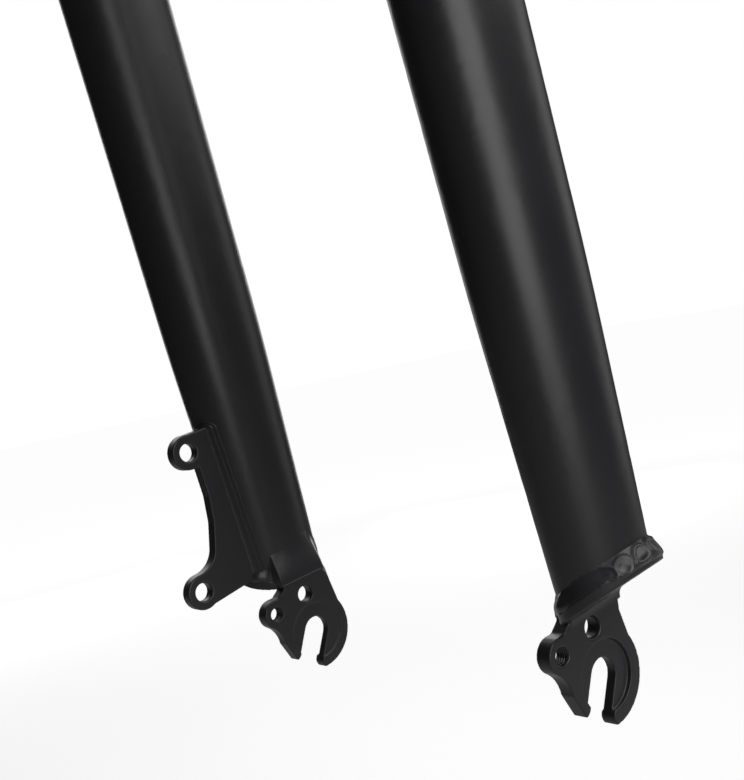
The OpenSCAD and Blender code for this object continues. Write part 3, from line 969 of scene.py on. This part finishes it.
class FORK_OT_stage(bpy.types.Operator):
    """Set up the floor, the lamps and the camera"""
    bl_idname = "fork.stage"
    bl_label = "Stage"

    def execute(self, context):
        scene = context.scene
        sizes, look = scene.fork_sizes, scene.fork_stage
        axle = leg_to_row(sizes).translation
        self.floor(scene, axle.x, look)
        self.lamps(scene, Vector((axle.x, 0, axle.z * AIM_HEIGHT)), look)
        self.world(scene, look.world_light)
        self.camera(scene, sizes)
        scene.view_settings.view_transform = "Standard"
        return {"FINISHED"}

    def floor(self, scene, x, look):
        """A floor below the fork, out past what the camera sees"""
        floor = bpy.data.meshes.new("floor")
        half = FLOOR_HALF
        corners = [(-half, -half, 0), (half, -half, 0), (half, half, 0), (-half, half, 0)]
        floor.from_pydata(corners, [], [(0, 1, 2, 3)])
        floor.materials.append(floor_material(look))
        piece = bpy.data.objects.new("floor", floor)
        piece.location = (x, 0, CAD_BOX[0][2] - look.floor_drop)
        scene.collection.objects.link(piece)

    def lamps(self, scene, middle, look):
        """Soft lamps round the fork, each turned to its lower half"""
        for name, turn, rise, size, watts in LAMPS:
            lamp = bpy.data.lights.new(name, "AREA")
            lamp.shape = "RECTANGLE"
            lamp.size, lamp.size_y = size
            lamp.energy = watts
            lamp.spread = look.lamp_spread
            turn, rise = math.radians(turn), math.radians(rise)
            level = math.cos(rise)
            way = Vector((level * math.cos(turn), level * math.sin(turn), math.sin(rise)))
            holder = bpy.data.objects.new(name, lamp)
            holder.location = middle + way * look.lamp_distance
            holder.rotation_euler = (-way).to_track_quat("-Z", "Y").to_euler()
            scene.collection.objects.link(holder)

    def world(self, scene, dim):
        """White to the camera and dim as a light"""
        world = bpy.data.worlds.new("studio")
        world.use_nodes = True
        tree = world.node_tree
        shade = next(n for n in tree.nodes if n.type == "BACKGROUND")
        shade.inputs["Color"].default_value = (1, 1, 1, 1)
        light_path = tree.nodes.new("ShaderNodeLightPath")
        seen = light_path.outputs["Is Camera Ray"]
        strength = math_node(tree, "ADD", math_node(tree, "MULTIPLY", seen, 1 - dim), dim)
        tree.links.new(strength, shade.inputs["Strength"])
        scene.world = world

    def camera(self, scene, sizes):
        """The viewpoint of the photograph"""
        data = bpy.data.cameras.new("photo_camera")
        data.sensor_width = PICTURE_WIDTH
        data.lens = LENS
        data.clip_start = NEAREST
        holder = bpy.data.objects.new("photo_camera", data)
        right, down, ahead = (Vector(way) for way in (CAMERA_RIGHT, CAMERA_DOWN, CAMERA_AHEAD))
        turn = Matrix((right, -down, -ahead)).transposed().to_4x4()
        place = Matrix.Translation(Vector(CAMERA_PLACE) * MM)
        holder.matrix_world = leg_to_row(sizes) @ place @ turn
        scene.collection.objects.link(holder)
        scene.camera = holder


PIECES = ["blades", "crown", "dropouts", "brake_plate", "foot_beads", "crown_beads", "plate_bead",
          "threads", "stage"]


class FORK_PT_sidebar(bpy.types.Panel):
    """Builds the fork's pieces one by one"""
    bl_label = "Fat bike fork"
    bl_idname = "FORK_PT_sidebar"
    bl_space_type = "VIEW_3D"
    bl_region_type = "UI"
    bl_category = "Fork"

    def draw(self, context):
        for name in PIECES:
            self.layout.operator("fork." + name)


CLASSES = [ForkSizes, BeadLook, SurfaceLook, StageLook, FORK_OT_blades, FORK_OT_crown,
           FORK_OT_dropouts, FORK_OT_brake_plate, FORK_OT_foot_beads, FORK_OT_crown_beads,
           FORK_OT_plate_bead, FORK_OT_threads, FORK_OT_stage, FORK_PT_sidebar]
SETTINGS = {"fork_sizes": ForkSizes, "fork_beads": BeadLook, "fork_surface": SurfaceLook,
            "fork_stage": StageLook}


def register():
    for piece in CLASSES:
        bpy.utils.register_class(piece)
    for name, group in SETTINGS.items():
        setattr(bpy.types.Scene, name, PointerProperty(type=group))


def unregister():
    for name in SETTINGS:
        delattr(bpy.types.Scene, name)
    for piece in reversed(CLASSES):
        bpy.utils.unregister_class(piece)


def main():
    register()
    for name in PIECES:
        getattr(bpy.ops.fork, name)()


if __name__ == "__main__":
    main()
